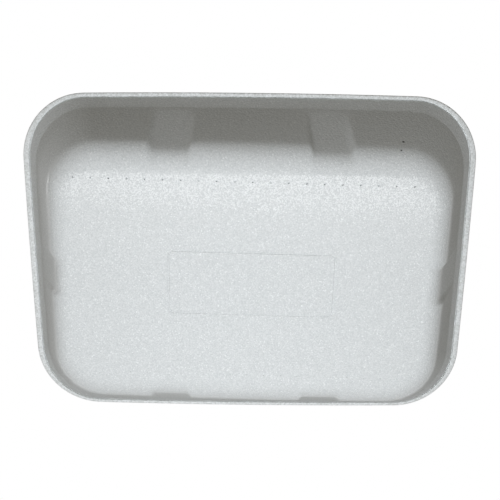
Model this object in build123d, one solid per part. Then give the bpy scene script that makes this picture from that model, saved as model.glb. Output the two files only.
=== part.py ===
from build123d import *
from math import cos, radians, tan
import os

# A deep foam food tray, thermoformed in one piece from a single foam sheet.
# It stands open side up: the base rests on z = 0, X runs along its length and the origin is under its middle.
# Lengths are in millimetres and angles in degrees.

# Overall sizes
rim_length = 301.6
rim_width = 222.3
tray_height = 60.3
foam = 4.0
rim_corner_radius = 44.0
long_side_bow = 1.9
short_side_bow = 0.8

# Rim flange
flange_width = 3.8
flange_thickness = 3.5
flange_edge_radius = 0.9
mouth_radius = 2.4

# Fold line pressed into the flange's underside, where the lip band starts
fold_width = 0.8
fold_depth = 0.7

# Lip band, a flared strip under the flange that ends at the shoulder
lip_height = 8.6
lip_draft = 34.5

# Drafted wall, and the rounding that leads into the base
wall_draft = 25.0
base_corner_radius = 26.0
base_round = 20.0

# Flutes, shallow troughs in the wall that deepen from just under the shoulder to the base
long_side_flute_spacing = 96.0
long_side_flute_depth = 6.0
short_side_flute_depth = 3.6
flute_floor_width = 19.0
flute_top_gap = 2.0
flute_slant = 58.0
flute_floor_radius = 8.0

# Plain frame line pressed into the underside of the base
frame_length = 101.0
frame_width = 40.0
frame_corner_radius = 4.0
frame_line = 0.9
frame_line_depth = 0.4

overrun = 5.0

flange_underside = tray_height - flange_thickness
shoulder_z = flange_underside - lip_height
flute_top = shoulder_z - flute_top_gap
lip_slope = tan(radians(lip_draft))
wall_slope = tan(radians(wall_draft))


def lip_inset(z, skin):
    # distance from the rim edge to the lip band, or to the surface that lies the skin's thickness behind it
    return flange_width + (flange_underside - z) * lip_slope + skin / cos(radians(lip_draft))


def wall_inset(z, skin):
    return lip_inset(shoulder_z, 0) + (shoulder_z - z) * wall_slope + skin / cos(radians(wall_draft))


def shoulder_height(skin):
    # where the lip band and the wall meet, on the outside or the skin's thickness behind it
    spread = skin / cos(radians(lip_draft)) - skin / cos(radians(wall_draft))
    return shoulder_z + spread / (lip_slope - wall_slope)


def corner_radius(z, skin):
    # the corners tighten evenly from the flange to the base
    top_radius = rim_corner_radius - flange_width
    return base_corner_radius + (top_radius - base_corner_radius) * z / flange_underside - skin


def outline(z, inset, radius):
    # four bowed sides with rounded corners
    side_x = rim_length / 2 - inset
    side_y = rim_width / 2 - inset
    corner_x = side_x - short_side_bow
    corner_y = side_y - long_side_bow
    sides = [
        ThreePointArc((-corner_x, -corner_y), (0, -side_y), (corner_x, -corner_y)),
        ThreePointArc((corner_x, -corner_y), (side_x, 0), (corner_x, corner_y)),
        ThreePointArc((corner_x, corner_y), (0, side_y), (-corner_x, corner_y)),
        ThreePointArc((-corner_x, corner_y), (-side_x, 0), (-corner_x, -corner_y)),
    ]
    sharp = make_face(sides)
    return Pos(0, 0, z) * fillet(sharp.vertices(), radius)


def frustum(low_z, high_z, inset_at, skin):
    low = outline(low_z, inset_at(low_z, skin), corner_radius(low_z, skin))
    high = outline(high_z, inset_at(high_z, skin), corner_radius(high_z, skin))
    return loft([low, high], ruled=True)


def flute(depth, skin):
    # a wedge that deepens towards the base; y runs inwards from the rim edge, and the flute is centred on x = 0
    slant = tan(radians(flute_slant))
    half_floor = flute_floor_width / 2 + skin / cos(radians(flute_slant)) - skin * slant

    def plan(z):
        floor_y = wall_inset(z, skin) + depth * (1 - z / flute_top)
        mouth_y = wall_inset(z, skin) - overrun
        half_mouth = half_floor + (floor_y - mouth_y) * slant
        points = [(-half_floor, floor_y), (half_floor, floor_y), (half_mouth, mouth_y), (-half_mouth, mouth_y)]
        return Pos(0, 0, z) * make_face(Polyline(points, close=True))

    wedge = loft([plan(-overrun), plan(shoulder_z)], ruled=True)
    rising_edges = wedge.edges().filter_by(lambda edge: edge.bounding_box().size.Z > overrun)
    return fillet(rising_edges.sort_by(Axis.Y)[-2:], flute_floor_radius + skin)


def all_flutes(skin):
    long_flute = flute(long_side_flute_depth, skin)
    short_flute = flute(short_side_flute_depth, skin)
    flutes = []
    for turn in (0, 180):
        for side in (-1, 1):
            place = Pos(side * long_side_flute_spacing / 2, -rim_width / 2, 0)
            flutes.append(Rot(0, 0, turn) * place * long_flute)
        flutes.append(Rot(0, 0, turn + 90) * Pos(0, -rim_length / 2, 0) * short_flute)
    return flutes


def fluted_wall(low_z, skin):
    wall = frustum(low_z, shoulder_height(skin), wall_inset, skin)
    wall = fillet(wall.edges().group_by(Axis.Z)[0], base_round - skin)
    return wall - all_flutes(skin)


def rim_flange():
    plate = extrude(outline(flange_underside, 0, rim_corner_radius), flange_thickness)
    plate = fillet(plate.edges().group_by(Axis.Z)[0] + plate.edges().group_by(Axis.Z)[-1], flange_edge_radius)
    fold_start = flange_width - fold_width
    fold_ring = outline(flange_underside, fold_start, rim_corner_radius - fold_start)
    fold_ring -= outline(flange_underside, flange_width, rim_corner_radius - flange_width)
    return plate - extrude(fold_ring, fold_depth)


def frame_line_cut():
    edge = RectangleRounded(frame_length, frame_width, frame_corner_radius)
    middle = RectangleRounded(
        frame_length - 2 * frame_line,
        frame_width - 2 * frame_line,
        frame_corner_radius - frame_line,
    )
    return extrude(edge - middle, frame_line_depth)


outside = fluted_wall(0, 0) + frustum(shoulder_z, flange_underside, lip_inset, 0) + rim_flange()
inside = fluted_wall(foam, foam) + frustum(shoulder_height(foam), tray_height, lip_inset, foam)
tray = outside - inside
mouth = tray.faces().sort_by(Axis.Z)[-1].inner_wires()[0].edges()
tray = fillet(mouth, mouth_radius)
tray = tray - frame_line_cut()
print("tray volume in cubic millimetres:", round(tray.volume))

os.makedirs("parts", exist_ok=True)
export_step(tray, "parts/tray.step")
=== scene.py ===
import bpy
from math import atan, cos, pi, radians, sin, tan
from mathutils import Matrix, Quaternion, Vector


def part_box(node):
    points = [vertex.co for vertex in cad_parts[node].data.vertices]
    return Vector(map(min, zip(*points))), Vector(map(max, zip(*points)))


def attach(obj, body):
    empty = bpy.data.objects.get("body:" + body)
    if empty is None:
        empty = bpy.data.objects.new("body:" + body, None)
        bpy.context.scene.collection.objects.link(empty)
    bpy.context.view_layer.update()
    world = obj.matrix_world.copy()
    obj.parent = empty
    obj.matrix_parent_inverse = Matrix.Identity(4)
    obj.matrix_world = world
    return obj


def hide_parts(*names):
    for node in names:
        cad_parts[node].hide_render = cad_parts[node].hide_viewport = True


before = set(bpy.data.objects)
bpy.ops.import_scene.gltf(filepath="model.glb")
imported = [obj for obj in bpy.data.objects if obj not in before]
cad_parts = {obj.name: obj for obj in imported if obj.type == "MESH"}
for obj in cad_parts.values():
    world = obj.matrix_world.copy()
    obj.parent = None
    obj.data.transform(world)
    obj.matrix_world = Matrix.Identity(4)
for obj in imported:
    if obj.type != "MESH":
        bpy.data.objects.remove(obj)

# A deep foam meat tray. It stands open side up on its base, and the camera looks up at its underside.
# Sizes in the dictionaries are in millimetres, angles in degrees and colours in sRGB hex.

mm = 0.001
scene = bpy.context.scene
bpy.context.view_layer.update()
trayLow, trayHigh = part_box("tray")
print("frame loaded, tray from", trayLow, "to", trayHigh)


# Small helpers

def hexToLinear(code):
    channels = [int(code[i:i + 2], 16) / 255 for i in (0, 2, 4)]
    return [c / 12.92 if c <= 0.04045 else ((c + 0.055) / 1.055) ** 2.4 for c in channels] + [1.0]


def perMetre(sizeInMm):  # texture scale that makes one feature this wide
    return 1 / (sizeInMm * mm)


def addNode(tree, kind, settings=None, inputs=None, links=None):
    node = tree.nodes.new(kind)
    for name, value in (settings or {}).items():
        setattr(node, name, value)
    for name, value in (inputs or {}).items():
        node.inputs[name].default_value = value
    for name, source in (links or {}).items():
        tree.links.new(source, node.inputs[name])
    return node


def newMaterial(name):
    material = bpy.data.materials.new(name)
    material.use_nodes = True
    material.node_tree.nodes.clear()
    return material, material.node_tree


def onlySelect(obj):
    bpy.ops.object.select_all(action="DESELECT")
    obj.select_set(True)
    bpy.context.view_layer.objects.active = obj


def wear(obj, material):  # dress an object in one material
    obj.data.materials.clear()
    obj.data.materials.append(material)


# Foam: extruded polystyrene sheet, thermoformed. The mould drew its skin of closed cells smooth, so the eye
# sees a white satin sheet, pebbled by its cells. Its small white flecks are painted highlights that stand in
# for glints, thickest as a painted sheen along the front edge of the base. The trimmed rim was pressed less,
# so its cells stay open; they are drawn bubbly, with painted shade in their pits and painted glints between.

foam = {
    "skin": "EBEDED",
    "shade": "D5D8D8",
    # painted highlight: the white of the flecks that stand in for glints, and of the rim's lit cells
    "paintedGlint": "F9FBFB",
    # painted shade: the darker tone in the hollows of the rim's open cells
    "pitShade": "DCDEDC",
    "roughness": {"base": 0.20, "wall": 0.75},   # the base was pressed smoother than the drawn walls
    "smoothEnd": 4.0,     # heights where the smooth base ends and the rough wall starts
    "roughStart": 14.0,
    "ior": 1.45,
    "gloss": 0.12,
    "cell": 1.5,          # width of one foam cell
    "cellHeight": 0.11,
    "cellSmooth": 0.35,   # how softly the cells run into each other
    "fleck": 0.5,         # cells of a lighter or darker tone
    "paintedGlintShare": 0.03,   # share of the flecks painted white as glints (painted highlight), all over and thicker along the front edge of the base
    "edgeGlintShare": 0.31,
    "edgeStart": -37.0,   # the front edge's painted glint flecks thicken between these two places in y
    "edgeFull": -59.0,
    "edgeSkew": -0.04,    # the thick flecks reach further in towards the right
    "edgeEnd": -64.6,     # and end where the base bends up into the front wall
    "edgeGone": -66.2,
    "edgeLow": 0.3,       # nor do they climb the other walls
    "edgeHigh": 1.5,
    "grain": 0.7,         # fine wrinkles of the skin
    "grainHeight": 0.065,
    "grainDetail": 1.0,
    "bubble": 1.0,        # open cells of the rim
    "rimStart": 55.9,     # height where the rim's open cells begin
    "rimBlend": 0.6,
    "speckColour": "2B2B29",
    "specks": (((91.5, -83.9, 15.9), 0.75), ((88.9, -79.5, 8.4), 0.55)),   # dirt, place and radius of each
}


def mixColour(tree, factor, low, high):  # low and high are hex colours or colour outputs
    mix = addNode(tree, "ShaderNodeMix", {"data_type": "RGBA"}, None, {"Factor": factor})
    for socket, colour in ((mix.inputs[6], low), (mix.inputs[7], high)):
        if isinstance(colour, str):
            socket.default_value = hexToLinear(colour)
        else:
            tree.links.new(colour, socket)
    return mix.outputs[2]


def foamMaterial():
    material, tree = newMaterial("extrudedPolystyreneFoam")
    place = addNode(tree, "ShaderNodeTexCoord").outputs["Object"]

    # tone of the skin, cell by cell
    flecks = addNode(tree, "ShaderNodeTexVoronoi", None,
                     {"Scale": perMetre(foam["fleck"])}, {"Vector": place})
    draws = addNode(tree, "ShaderNodeSeparateColor", None, None, {"Color": flecks.outputs["Color"]}).outputs
    tone = mixColour(tree, draws["Red"], foam["shade"], foam["skin"])

    # painted highlight: white flecks that stand in for glints, thickest as a painted sheen along the front
    # edge of the base
    axes = addNode(tree, "ShaderNodeSeparateXYZ", None, None, {"Vector": place}).outputs
    height = axes["Z"]
    skewed = addNode(tree, "ShaderNodeMath", {"operation": "MULTIPLY_ADD"}, {1: foam["edgeSkew"]},
                     {0: axes["X"], 2: axes["Y"]})
    towardsEdge = addNode(tree, "ShaderNodeMapRange", {"interpolation_type": "SMOOTHSTEP"},
                          {"From Min": foam["edgeStart"] * mm, "From Max": foam["edgeFull"] * mm,
                           "To Min": 0.0, "To Max": foam["edgeGlintShare"]}, {"Value": skewed.outputs["Value"]})
    beforeBend = addNode(tree, "ShaderNodeMapRange", {"interpolation_type": "SMOOTHSTEP"},
                         {"From Min": foam["edgeGone"] * mm, "From Max": foam["edgeEnd"] * mm},
                         {"Value": axes["Y"]})
    downWall = addNode(tree, "ShaderNodeMapRange", {"interpolation_type": "SMOOTHSTEP"},
                       {"From Min": foam["edgeHigh"] * mm, "From Max": foam["edgeLow"] * mm},
                       {"Value": height})
    onFlat = addNode(tree, "ShaderNodeMath", {"operation": "MULTIPLY"}, None,
                     {0: beforeBend.outputs["Result"], 1: downWall.outputs["Result"]})
    share = addNode(tree, "ShaderNodeMath", {"operation": "MULTIPLY_ADD"}, {2: foam["paintedGlintShare"]},
                    {0: towardsEdge.outputs["Result"], 1: onFlat.outputs["Value"]})
    white = addNode(tree, "ShaderNodeMath", {"operation": "LESS_THAN"},
                    None, {0: draws["Blue"], 1: share.outputs["Value"]})
    tone = mixColour(tree, white.outputs["Value"], tone, foam["paintedGlint"])

    # bubbly rim: its open cells drawn with painted shade in the pits and painted glints between them
    rimFull = foam["rimStart"] + foam["rimBlend"]
    onRim = addNode(tree, "ShaderNodeMapRange", None,
                    {"From Min": foam["rimStart"] * mm, "From Max": rimFull * mm}, {"Value": height})
    bubbles = addNode(tree, "ShaderNodeTexVoronoi", None,
                      {"Scale": perMetre(foam["bubble"])}, {"Vector": place})
    depths = addNode(tree, "ShaderNodeSeparateColor", None, None, {"Color": bubbles.outputs["Color"]}).outputs
    bubbly = mixColour(tree, depths["Red"], foam["pitShade"], foam["paintedGlint"])
    tone = mixColour(tree, onRim.outputs["Result"], tone, bubbly)

    # specks of dirt
    for spot, radius in foam["specks"]:
        away = addNode(tree, "ShaderNodeVectorMath", {"operation": "DISTANCE"},
                       {1: Vector(spot) * mm}, {0: place})
        onSpeck = addNode(tree, "ShaderNodeMath", {"operation": "LESS_THAN"},
                          {1: radius * mm}, {0: away.outputs["Value"]})
        tone = mixColour(tree, onSpeck.outputs["Value"], tone, foam["speckColour"])

    # pebbled cells and fine wrinkles
    cells = addNode(tree, "ShaderNodeTexVoronoi", {"feature": "SMOOTH_F1"},
                    {"Scale": perMetre(foam["cell"]), "Smoothness": foam["cellSmooth"]}, {"Vector": place})
    grain = addNode(tree, "ShaderNodeTexNoise", None,
                    {"Scale": perMetre(foam["grain"]), "Detail": foam["grainDetail"]}, {"Vector": place})
    cellBump = addNode(tree, "ShaderNodeBump", {"invert": True},
                       {"Strength": 1.0, "Distance": foam["cellHeight"] * mm},
                       {"Height": cells.outputs["Distance"]})
    grainBump = addNode(tree, "ShaderNodeBump", None,
                        {"Strength": 1.0, "Distance": foam["grainHeight"] * mm},
                        {"Height": grain.outputs["Fac"], "Normal": cellBump.outputs["Normal"]})
    rough = addNode(tree, "ShaderNodeMapRange", None,
                    {"From Min": foam["smoothEnd"] * mm, "From Max": foam["roughStart"] * mm,
                     "To Min": foam["roughness"]["base"], "To Max": foam["roughness"]["wall"]},
                    {"Value": height})
    skin = addNode(tree, "ShaderNodeBsdfPrincipled", None,
                   {"IOR": foam["ior"], "Specular IOR Level": foam["gloss"]},
                   {"Base Color": tone, "Roughness": rough.outputs["Result"],
                    "Normal": grainBump.outputs["Normal"]})
    addNode(tree, "ShaderNodeOutputMaterial", None, None, {"Surface": skin.outputs["BSDF"]})
    return material


foamSkin = foamMaterial()
print("foam material made")


# Tray: one skin, from the frame line under the base, up the outside, over the rim and down the inside

tray = {
    "longBow": 1.9,
    "shortBow": 0.8,
    "lean": -0.65,        # the soft walls lean a little, so the base stands this far off the rim's middle
    "twist": 1.0,         # and they twist a little, so the base is turned against the rim
    "rimCorner": 44.0,
    "baseCorner": 29.0,
    "foam": 4.0,
    "flangeThickness": 3.5,
    "flangeEdge": 0.9,
    "mouthRound": 2.4,
    "foldWidth": 0.8,
    "foldDepth": 2.0,
    "foldEdge": 0.1,
    "lipHeight": 9.8,
    "shoulderRound": 9.0,
    "frameLength": 101.0,
    "frameWidth": 40.0,
    "frameCorner": 4.0,
    "framePlace": (2.2, 1.2),
    "frameLine": 1.3,     # the line is a groove with sloping sides and a narrow floor
    "frameFloor": 0.2,
    "frameDepth": 0.4,
    "steps": {"long": 84, "corner": 22, "short": 52},   # columns in each quarter of the rim
    "cornerTries": 4,     # times a corner is slid to meet both its sides
    "weld": 0.001,
    "crease": 35.0,       # edges sharper than this stay sharp
}
longSide = {
    "flange": 3.0,
    "lipDraft": 32.7,
    "wallDraft": 27.6,
    "round": 21.0,        # rounding into the base
    "fluteDepth": 3.4,
    "fluteRound": 16.4,
}
shortSide = {
    "flange": 4.4,
    "lipDraft": 34.5,
    "wallDraft": 25.6,
    "round": 16.0,
    "fluteDepth": 3.0,
    "fluteRound": 12.0,
}
flute = {
    "spacing": 96.0,
    "floor": 20.0,
    "mouth": 27.5,
    "topGap": 2.0,
}

halfLength, halfWidth, trayHeight = (trayHigh[axis] / mm for axis in range(3))
underFlange = trayHeight - tray["flangeThickness"]
shoulderZ = underFlange - tray["lipHeight"]
fluteTop = shoulderZ - flute["topGap"]


def lipInset(side, z, skin=0.0):  # distance inwards from the rim edge
    draft = radians(side["lipDraft"])
    return side["flange"] + (underFlange - z) * tan(draft) + skin / cos(draft)


def wallInset(side, z, skin=0.0):
    draft = radians(side["wallDraft"])
    return lipInset(side, shoulderZ) + (shoulderZ - z) * tan(draft) + skin / cos(draft)


def innerShoulder(side):
    spread = lipInset(side, shoulderZ, tray["foam"]) - wallInset(side, shoulderZ, tray["foam"])
    return shoulderZ + spread / (tan(radians(side["lipDraft"])) - tan(radians(side["wallDraft"])))


def cornerRadius(side, z, inset):
    plainInset = lipInset(side, z) if z > shoulderZ else wallInset(side, z)
    topRadius = tray["rimCorner"] - side["flange"]
    plainRadius = tray["baseCorner"] + (topRadius - tray["baseCorner"]) * z / underFlange
    return plainRadius - (inset - plainInset)


def roundedPath(corners):  # corners are (inset, z, radius, arc steps, steps to the next corner)
    path = []
    for index, (inset, z, radius, arcSteps, runSteps) in enumerate(corners):
        here = Vector((inset, z))
        if 0 < index < len(corners) - 1 and radius:
            back = (Vector(corners[index - 1][:2]) - here).normalized()
            ahead = (Vector(corners[index + 1][:2]) - here).normalized()
            turn = pi - back.angle(ahead)
            middle = here + (back + ahead).normalized() * radius / cos(turn / 2)
            start = here + back * radius * tan(turn / 2) - middle
            side = here + ahead * radius * tan(turn / 2) - middle
            across = (side - start * cos(turn)) / sin(turn)
            path += [middle + start * cos(turn * i / arcSteps) + across * sin(turn * i / arcSteps)
                     for i in range(arcSteps + 1)]
        else:
            path.append(here)
        if runSteps > 1:
            leave = path[-1]
            nextCorner = corners[index + 1]
            goal = Vector(nextCorner[:2])
            if nextCorner[2] and index + 2 < len(corners):
                ahead = (Vector(corners[index + 2][:2]) - goal).normalized()
                back = (here - goal).normalized()
                goal = goal + back * nextCorner[2] * tan((pi - back.angle(ahead)) / 2)
            path += [leave.lerp(goal, i / runSteps) for i in range(1, runSteps)]
    return path


def section(side, depth, baseRound):  # from the flat of the base, up and over the rim, and down the inside
    sheet = tray["foam"]
    edge = tray["foldEdge"]
    foldStart = side["flange"] - tray["foldWidth"]
    foldTop = underFlange + tray["foldDepth"]
    foot = wallInset(side, 0) + depth
    innerFoot = wallInset(side, sheet, sheet) + depth * (1 - sheet / fluteTop)
    innerTurn = innerShoulder(side)
    flatEnd = wallInset(longSide, 0) + longSide["round"]
    return roundedPath([
        (flatEnd, 0.0, 0.0, 1, 1),
        (foot, 0.0, baseRound, 14, 12),
        (wallInset(side, fluteTop), fluteTop, 0.0, 1, 1),
        (lipInset(side, shoulderZ), shoulderZ, tray["shoulderRound"], 3, 4),
        (side["flange"], underFlange, edge, 2, 1),
        (side["flange"], foldTop, edge, 2, 1),
        (foldStart, foldTop, edge, 2, 1),
        (foldStart, underFlange, edge, 2, 2),
        (0.0, underFlange, tray["flangeEdge"], 4, 1),
        (0.0, trayHeight, tray["flangeEdge"], 4, 2),
        (lipInset(side, trayHeight, sheet), trayHeight, tray["mouthRound"], 5, 4),
        (lipInset(side, innerTurn, sheet), innerTurn, tray["shoulderRound"], 3, 1),
        (wallInset(side, fluteTop, sheet), fluteTop, 0.0, 1, 12),
        (innerFoot, sheet, baseRound - sheet, 12, 1),
        (flatEnd + sheet, sheet, 0.0, 1, 1),
    ])


def ringPoints(halfX, halfY, longBow, shortBow, radius):  # bowed sides and round corners, as one closed ring
    steps = tray["steps"]
    cornerX, cornerY = halfX - shortBow, halfY - longBow
    endX, endY = cornerX - radius, cornerY - radius

    def alongLong(x):
        return (x, halfY - longBow * (x / cornerX) ** 2)

    def alongShort(y):
        return (halfX - shortBow * (y / cornerY) ** 2, y)

    for attempt in range(tray["cornerTries"]):  # slide the corner until it meets both sides smoothly
        longTilt = atan(2 * longBow * endX / cornerX ** 2)
        shortTilt = atan(2 * shortBow * endY / cornerY ** 2)
        middleX = alongShort(endY)[0] - radius * cos(shortTilt)
        middleY = alongLong(endX)[1] - radius * cos(longTilt)
        endX = middleX + radius * sin(longTilt)
        endY = middleY + radius * sin(shortTilt)
    quarter = [alongLong(endX * i / steps["long"]) for i in range(steps["long"])]
    for i in range(steps["corner"]):
        angle = pi / 2 - longTilt - (pi / 2 - longTilt - shortTilt) * i / steps["corner"]
        quarter.append((middleX + radius * cos(angle), middleY + radius * sin(angle)))
    quarter += [alongShort(endY * (1 - i / steps["short"])) for i in range(steps["short"] + 1)]
    half = quarter + [(x, -y) for x, y in reversed(quarter[:-1])]
    return half + [(-x, y) for x, y in reversed(half[1:-1])]


def sectionRing(side, point):
    inset, z = point
    radius = cornerRadius(side, z, inset)
    return ringPoints(halfLength - inset, halfWidth - inset, tray["longBow"], tray["shortBow"], radius)


def frameRing(inset):  # a ring of the frame line, this far in from its outer edge
    halfX = tray["frameLength"] / 2 - inset
    halfY = tray["frameWidth"] / 2 - inset
    return ringPoints(halfX, halfY, 0.0, 0.0, tray["frameCorner"] - inset)


def smoothStep(share):
    share = min(max(share, 0.0), 1.0)
    return share * share * (3 - 2 * share)


def fluteShare(x, y):  # 1 on a flute's floor, 0 on the plain wall, smooth between
    if halfLength - abs(x) < halfWidth - abs(y):
        aside = abs(y)
    else:
        aside = abs(abs(x) - flute["spacing"] / 2)
    return smoothStep((flute["mouth"] - 2 * aside) / (flute["mouth"] - flute["floor"]))


def shortShares():  # how far each column belongs to a short side, 0 on the long sides
    steps = tray["steps"]
    quarter = [0.0] * steps["long"]
    quarter += [smoothStep(i / steps["corner"]) for i in range(steps["corner"])]
    quarter += [1.0] * (steps["short"] + 1)
    half = quarter + quarter[-2::-1]
    return half + half[-2:0:-1]


def settle(spot):  # the lean and twist of the soft walls, none at the rim and most at the base
    share = max(0.0, 1 - spot.z / underFlange)
    settled = Matrix.Rotation(radians(tray["twist"]) * share, 3, "Z") @ spot
    settled.y += tray["lean"] * share
    return settled


def trayRings():
    depth = tray["frameDepth"]
    line = tray["frameLine"]
    frameX, frameY = tray["framePlace"]
    rings = []
    slope = (line - tray["frameFloor"]) / 2
    for edge, z in ((line, 0.0), (line - slope, depth), (slope, depth), (0.0, 0.0)):
        rings.append([Vector((x + frameX, y + frameY, z)) for x, y in frameRing(edge)])
    sides = (longSide, shortSide, longSide, shortSide)
    plainSections = [section(side, 0.0, side["round"]) for side in sides[:2]]
    flutedSections = [section(side, side["fluteDepth"], side["fluteRound"]) for side in sides[2:]]
    for row in zip(*plainSections, *flutedSections):
        ring = []
        columns = zip(shortShares(), *(sectionRing(side, point) for side, point in zip(sides, row)))
        for shortShare, *spots in columns:
            long, short, longFlute, shortFlute = (Vector((x, y, z)) for (x, y), (inset, z) in zip(spots, row))
            plain = long.lerp(short, shortShare)
            fluted = longFlute.lerp(shortFlute, shortShare)
            ring.append(plain.lerp(fluted, fluteShare(plain.x, plain.y)))
        rings.append(ring)
    return [[settle(spot) for spot in ring] for ring in rings]


# Vents: pin holes left by the mould, a row along each long side of the base

vents = {
    "across": 1.4,
    "sides": 10,
    "frontDeep": 1.6,
    "backDeep": 0.5,
    "taper": 0.5,
    "pitch": 10.43,
    "count": 20,
    "firstX": -103.1,
    "row": 60.5,
    "overrun": 0.5,
}


def pressVents(skin):
    wide = vents["across"] / 2
    pinLength = vents["frontDeep"] + vents["overrun"]
    bpy.ops.object.select_all(action="DESELECT")
    bpy.ops.mesh.primitive_cone_add(vertices=vents["sides"], radius1=wide * mm,
                                    radius2=wide * vents["taper"] * mm, depth=pinLength * mm)
    pin = bpy.context.view_layer.objects.active
    pins = []
    for row, deep in ((-vents["row"], vents["frontDeep"]), (vents["row"], vents["backDeep"])):
        for i in range(vents["count"]):
            copy = pin.copy()
            copy.data = pin.data.copy()
            spot = settle(Vector((vents["firstX"] + i * vents["pitch"], row, 0.0)))
            spot.z = deep - pinLength / 2
            copy.data.transform(Matrix.Translation(spot * mm))
            scene.collection.objects.link(copy)
            pins.append(copy)
    bpy.data.objects.remove(pin)
    onlySelect(pins[0])
    for copy in pins:
        copy.select_set(True)
    bpy.ops.object.join()
    onlySelect(skin)
    cut = skin.modifiers.new("vents", "BOOLEAN")
    cut.operation = "DIFFERENCE"
    cut.solver = "EXACT"
    cut.object = pins[0]
    bpy.ops.object.modifier_apply(modifier=cut.name)
    bpy.data.objects.remove(pins[0])


def mouldTray():
    rings = trayRings()
    columns = len(rings[0])
    bpy.ops.object.select_all(action="DESELECT")
    bpy.ops.mesh.primitive_grid_add(x_subdivisions=columns, y_subdivisions=len(rings) - 1, size=1)
    skin = bpy.context.view_layer.objects.active
    skin.name = "foam_tray"
    for vertex in skin.data.vertices:  # the grid's rows become the rings, and its two side edges meet
        row, column = divmod(vertex.index, columns + 1)
        vertex.co = rings[row][column % columns] * mm
    bpy.ops.object.mode_set(mode="EDIT")
    bpy.ops.mesh.select_all(action="SELECT")
    bpy.ops.mesh.remove_doubles(threshold=tray["weld"] * mm)
    bpy.ops.mesh.fill_holes(sides=0)
    bpy.ops.mesh.select_all(action="SELECT")
    bpy.ops.mesh.normals_make_consistent(inside=False)
    bpy.ops.object.mode_set(mode="OBJECT")
    pressVents(skin)
    bpy.ops.object.shade_smooth_by_angle(angle=radians(tray["crease"]))
    wear(skin, foamSkin)
    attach(skin, "root")
    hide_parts("tray")
    return skin


foamTray = mouldTray()
print("tray moulded,", len(foamTray.data.polygons), "faces")


# Stage: a pale floor under the base, clear from below so that the underside can be seen and lit through it

stage = {
    "floorSize": 6000.0,
    "floorColour": "F2F2F1",
    "floorGap": 0.2,
}


def paleFloor():
    material, tree = newMaterial("paleFloor")
    sides = addNode(tree, "ShaderNodeNewGeometry")
    matt = addNode(tree, "ShaderNodeBsdfDiffuse", None, {"Color": hexToLinear(stage["floorColour"])})
    clear = addNode(tree, "ShaderNodeBsdfTransparent")
    oneSided = addNode(tree, "ShaderNodeMixShader", None, None, {"Fac": sides.outputs["Backfacing"]})
    tree.links.new(matt.outputs["BSDF"], oneSided.inputs[1])
    tree.links.new(clear.outputs["BSDF"], oneSided.inputs[2])
    addNode(tree, "ShaderNodeOutputMaterial", None, None, {"Surface": oneSided.outputs["Shader"]})
    return material


def layFloor():
    bpy.ops.object.select_all(action="DESELECT")
    bpy.ops.mesh.primitive_plane_add(size=stage["floorSize"] * mm, location=(0, 0, -stage["floorGap"] * mm))
    floor = bpy.context.view_layer.objects.active
    floor.name = "floor"
    wear(floor, paleFloor())
    floor.visible_diffuse = floor.visible_glossy = floor.visible_transmission = floor.visible_shadow = False


layFloor()
print("stage set")


# Light: soft lamps below light the underside, and a soft sun above lights the inside and the floor

lamps = {
    "key": {"place": (0, 60, -500), "aim": (0, 20, 0), "size": (220, 160),
            "watts": 2.28, "colour": "F6FAFF", "matteOnly": True},
    "side": {"place": (-900, -100, -500), "aim": (0, 0, 30), "size": (400, 400),
             "watts": 0.75, "colour": "FFFFFF"},
    "strip": {"place": (0, 15, -500), "aim": (0, -60, 0), "size": (640, 60),
              "watts": 2.0, "colour": "FFFFFF", "glossOnly": True},
}
sun = {"from": (-0.45, -0.12, 1.0), "spread": 40.0, "strength": 2.8, "colour": "FAFBFF"}
world = {"ambient": "FFF0CC", "strength": 0.085, "background": "FFFFFF", "white": 1.0}


def addLamp(name, spec):
    data = bpy.data.lights.new(name, "AREA")
    data.shape = "RECTANGLE"
    data.size, data.size_y = (side * mm for side in spec["size"])
    data.energy = spec["watts"]
    data.color = hexToLinear(spec["colour"])[:3]
    lamp = bpy.data.objects.new(name, data)
    scene.collection.objects.link(lamp)
    lamp.location = Vector(spec["place"]) * mm
    lamp.rotation_mode = "QUATERNION"
    lamp.rotation_quaternion = (Vector(spec["aim"]) * mm - lamp.location).to_track_quat("-Z", "Y")
    lamp.visible_camera = False
    lamp.visible_diffuse = not spec.get("glossOnly")
    lamp.visible_glossy = not spec.get("matteOnly")


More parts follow.
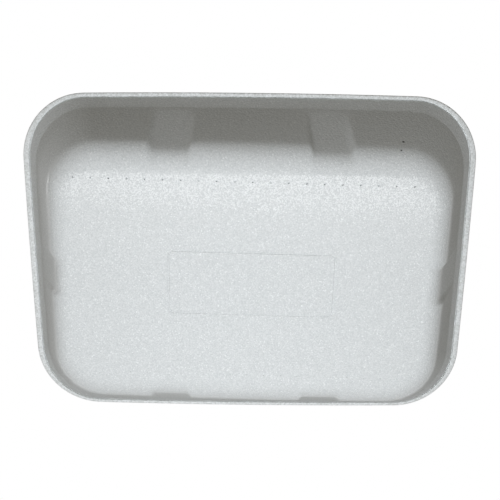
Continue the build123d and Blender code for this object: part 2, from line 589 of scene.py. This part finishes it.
def addSun():
    data = bpy.data.lights.new("sun", "SUN")
    data.angle = radians(sun["spread"])
    data.energy = sun["strength"]
    data.color = hexToLinear(sun["colour"])[:3]
    lamp = bpy.data.objects.new("sun", data)
    scene.collection.objects.link(lamp)
    lamp.rotation_mode = "QUATERNION"
    lamp.rotation_quaternion = (-Vector(sun["from"])).to_track_quat("-Z", "Y")


def paleWorld():
    scene.world = bpy.data.worlds.new("paleRoom")
    scene.world.use_nodes = True
    tree = scene.world.node_tree
    tree.nodes.clear()
    rays = addNode(tree, "ShaderNodeLightPath").outputs
    seen = addNode(tree, "ShaderNodeMath", {"operation": "ADD"},
                   None, {0: rays["Is Camera Ray"], 1: rays["Is Glossy Ray"]})
    seen = addNode(tree, "ShaderNodeMath", {"operation": "ADD", "use_clamp": True},
                   None, {0: seen.outputs["Value"], 1: rays["Is Transmission Ray"]})
    room = addNode(tree, "ShaderNodeBackground", None,
                   {"Color": hexToLinear(world["ambient"]), "Strength": world["strength"]})
    white = addNode(tree, "ShaderNodeBackground", None,
                    {"Color": hexToLinear(world["background"]), "Strength": world["white"]})
    light = addNode(tree, "ShaderNodeMixShader", None, None,
                    {0: seen.outputs["Value"], 1: room.outputs["Background"], 2: white.outputs["Background"]})
    addNode(tree, "ShaderNodeOutputWorld", None, None, {"Surface": light.outputs["Shader"]})


for lampName, lampSpec in lamps.items():
    addLamp(lampName, lampSpec)
addSun()
paleWorld()
print("lamps lit")


# Camera: below the tray and towards its front, looking up at the base

camera = {
    "place": (1.95, -111.25, -360.22),
    "aim": (1.13, -20.61, 0.0),
    "roll": 0.634,
    "lens": 45.0,
    "nearest": 1.0,       # where the view starts
}


def addCamera():
    data = bpy.data.cameras.new("camera")
    data.lens = camera["lens"]
    data.clip_start = camera["nearest"] * mm
    eye = bpy.data.objects.new("camera", data)
    scene.collection.objects.link(eye)
    place = Vector(camera["place"]) * mm
    forward = (Vector(camera["aim"]) * mm - place).normalized()
    right = forward.cross(Vector((0, -1, 0))).normalized()  # the tray's front is at the top of the picture
    up = right.cross(forward)
    turn = Matrix((right, up, -forward)).transposed().to_quaternion()
    eye.rotation_mode = "QUATERNION"
    eye.location = place
    eye.rotation_quaternion = turn @ Quaternion((0, 0, 1), radians(camera["roll"]))
    scene.camera = eye


addCamera()
scene.view_settings.view_transform = "Standard"
print("camera placed")
